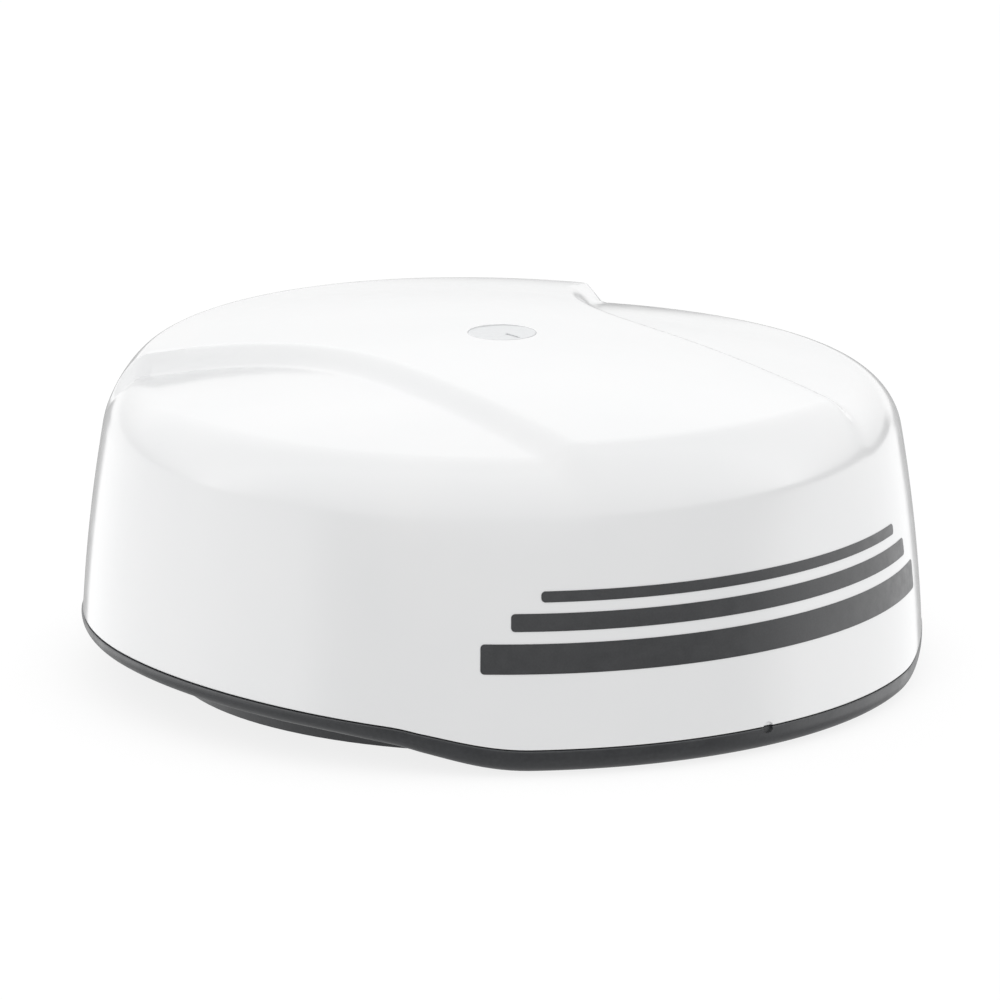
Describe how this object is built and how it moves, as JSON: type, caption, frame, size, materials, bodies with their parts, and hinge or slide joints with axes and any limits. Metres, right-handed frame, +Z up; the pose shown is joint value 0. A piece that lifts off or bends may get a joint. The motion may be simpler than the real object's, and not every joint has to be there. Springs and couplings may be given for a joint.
{
  "type": "radar dome antenna",
  "caption": "Closed marine radar dome: white domed cover on a dark tray, with a motor-driven rotating array inside.",
  "frame": {"origin": "centre of the underside, on the mounting face", "axes": "+Z up along the antenna's rotation axis, -Y towards the bow, +X to starboard seen from above"},
  "size_m": [0.6448, 0.6448, 0.2591],
  "materials": {
    "radome_shell": "gloss white moulding",
    "marking": "satin dark grey print",
    "mark_inlay": "satin light grey",
    "tray_plastic": "fine grained dark grey moulding",
    "black_plastic": "matt black",
    "natural_nylon": "satin off-white",
    "seal_rubber": "matt black rubber",
    "brass": "machined",
    "stainless": "brushed stainless",
    "steel_polished": "ground and polished",
    "sheet_aluminium": "brushed sheet",
    "cast_aluminium": "fine cast",
    "board_green": "solder mask",
    "copper": "tinned copper",
    "component_black": "moulded packages",
    "coax_sheath": "satin black sheath",
    "lead_sheath": "satin black sheath",
    "zinc_steel": "zinc plated",
    "magnet_nickel": "nickel plated"
  },
  "bodies": {
    "cover": {"radome_cover": "radome_shell", "cover_inserts": "brass", "side_stripes": "marking", "bow_mark": "mark_inlay"},
    "base": {"base_tray": "tray_plastic", "mount_inserts": "stainless", "rim_gasket": "seal_rubber", "cover_screws": "stainless", "breather_vent": "black_plastic", "power_socket": "black_plastic", "network_socket": "black_plastic", "socket_seals": "seal_rubber", "socket_nuts": "brass", "socket_pins": "brass", "chassis_plate": "sheet_aluminium", "chassis_screws": "stainless", "spindle_housing": "cast_aluminium", "drive_motor": "zinc_steel", "motor_bracket": "sheet_aluminium", "drive_screws": "stainless", "sensor_post": "sheet_aluminium", "position_sensor": "board_green", "rotary_joint_stator": "brass", "transceiver_coax": "coax_sheath", "transceiver_case": "cast_aluminium", "transceiver_lid": "cast_aluminium", "electronics_screws": "stainless", "rf_board": "board_green", "main_board": "board_green", "board_standoffs": "brass", "board_components": "component_black", "board_heatsink": "cast_aluminium", "wiring_harness": "lead_sheath", "lower_bearing_outer_ring": "steel_polished", "upper_bearing_outer_ring": "steel_polished"},
    "rotor": {"spindle_shaft": "stainless", "shaft_clip": "zinc_steel", "bearing_spacer": "stainless", "rotor_hub": "sheet_aluminium", "main_gear": "natural_nylon", "gear_screws": "stainless", "index_magnet": "magnet_nickel", "rotary_joint_rotor": "brass", "feed_coax": "coax_sheath", "feed_plug": "brass", "antenna_cradle": "sheet_aluminium", "array_frame": "sheet_aluminium", "antenna_screws": "stainless", "radiating_board": "board_green", "board_rivets": "natural_nylon", "patch_elements": "copper", "counterweight": "zinc_steel", "counterweight_screws": "stainless", "lower_bearing_inner_ring": "steel_polished", "upper_bearing_inner_ring": "steel_polished"},
    "pinion": {"motor_shaft": "steel_polished", "motor_pinion": "brass"},
    "bearing_cage": {"bearing_balls": "steel_polished", "bearing_cages": "natural_nylon"}
  },
  "joints": [
    {"name": "cover_lift", "type": "slide", "parent": "base", "child": "cover", "axis": [0, 0, 1], "range_m": [0, 0.26]},
    {"name": "antenna_spin", "type": "hinge", "parent": "base", "child": "rotor", "pos_m": [0, 0, 0.08], "axis": [0, 0, 1], "continuous": true},
    {"name": "pinion_spin", "type": "hinge", "parent": "base", "child": "pinion", "pos_m": [0, 0.072, 0.08], "axis": [0, 0, 1], "continuous": true},
    {"name": "cage_spin", "type": "hinge", "parent": "base", "child": "bearing_cage", "pos_m": [0, 0, 0.05], "axis": [0, 0, 1], "continuous": true}
  ],
  "couplings": [
    {"joint": "pinion_spin", "follows": "antenna_spin", "ratio": -5},
    {"joint": "cage_spin", "follows": "antenna_spin", "ratio": 0.3974}
  ]
}
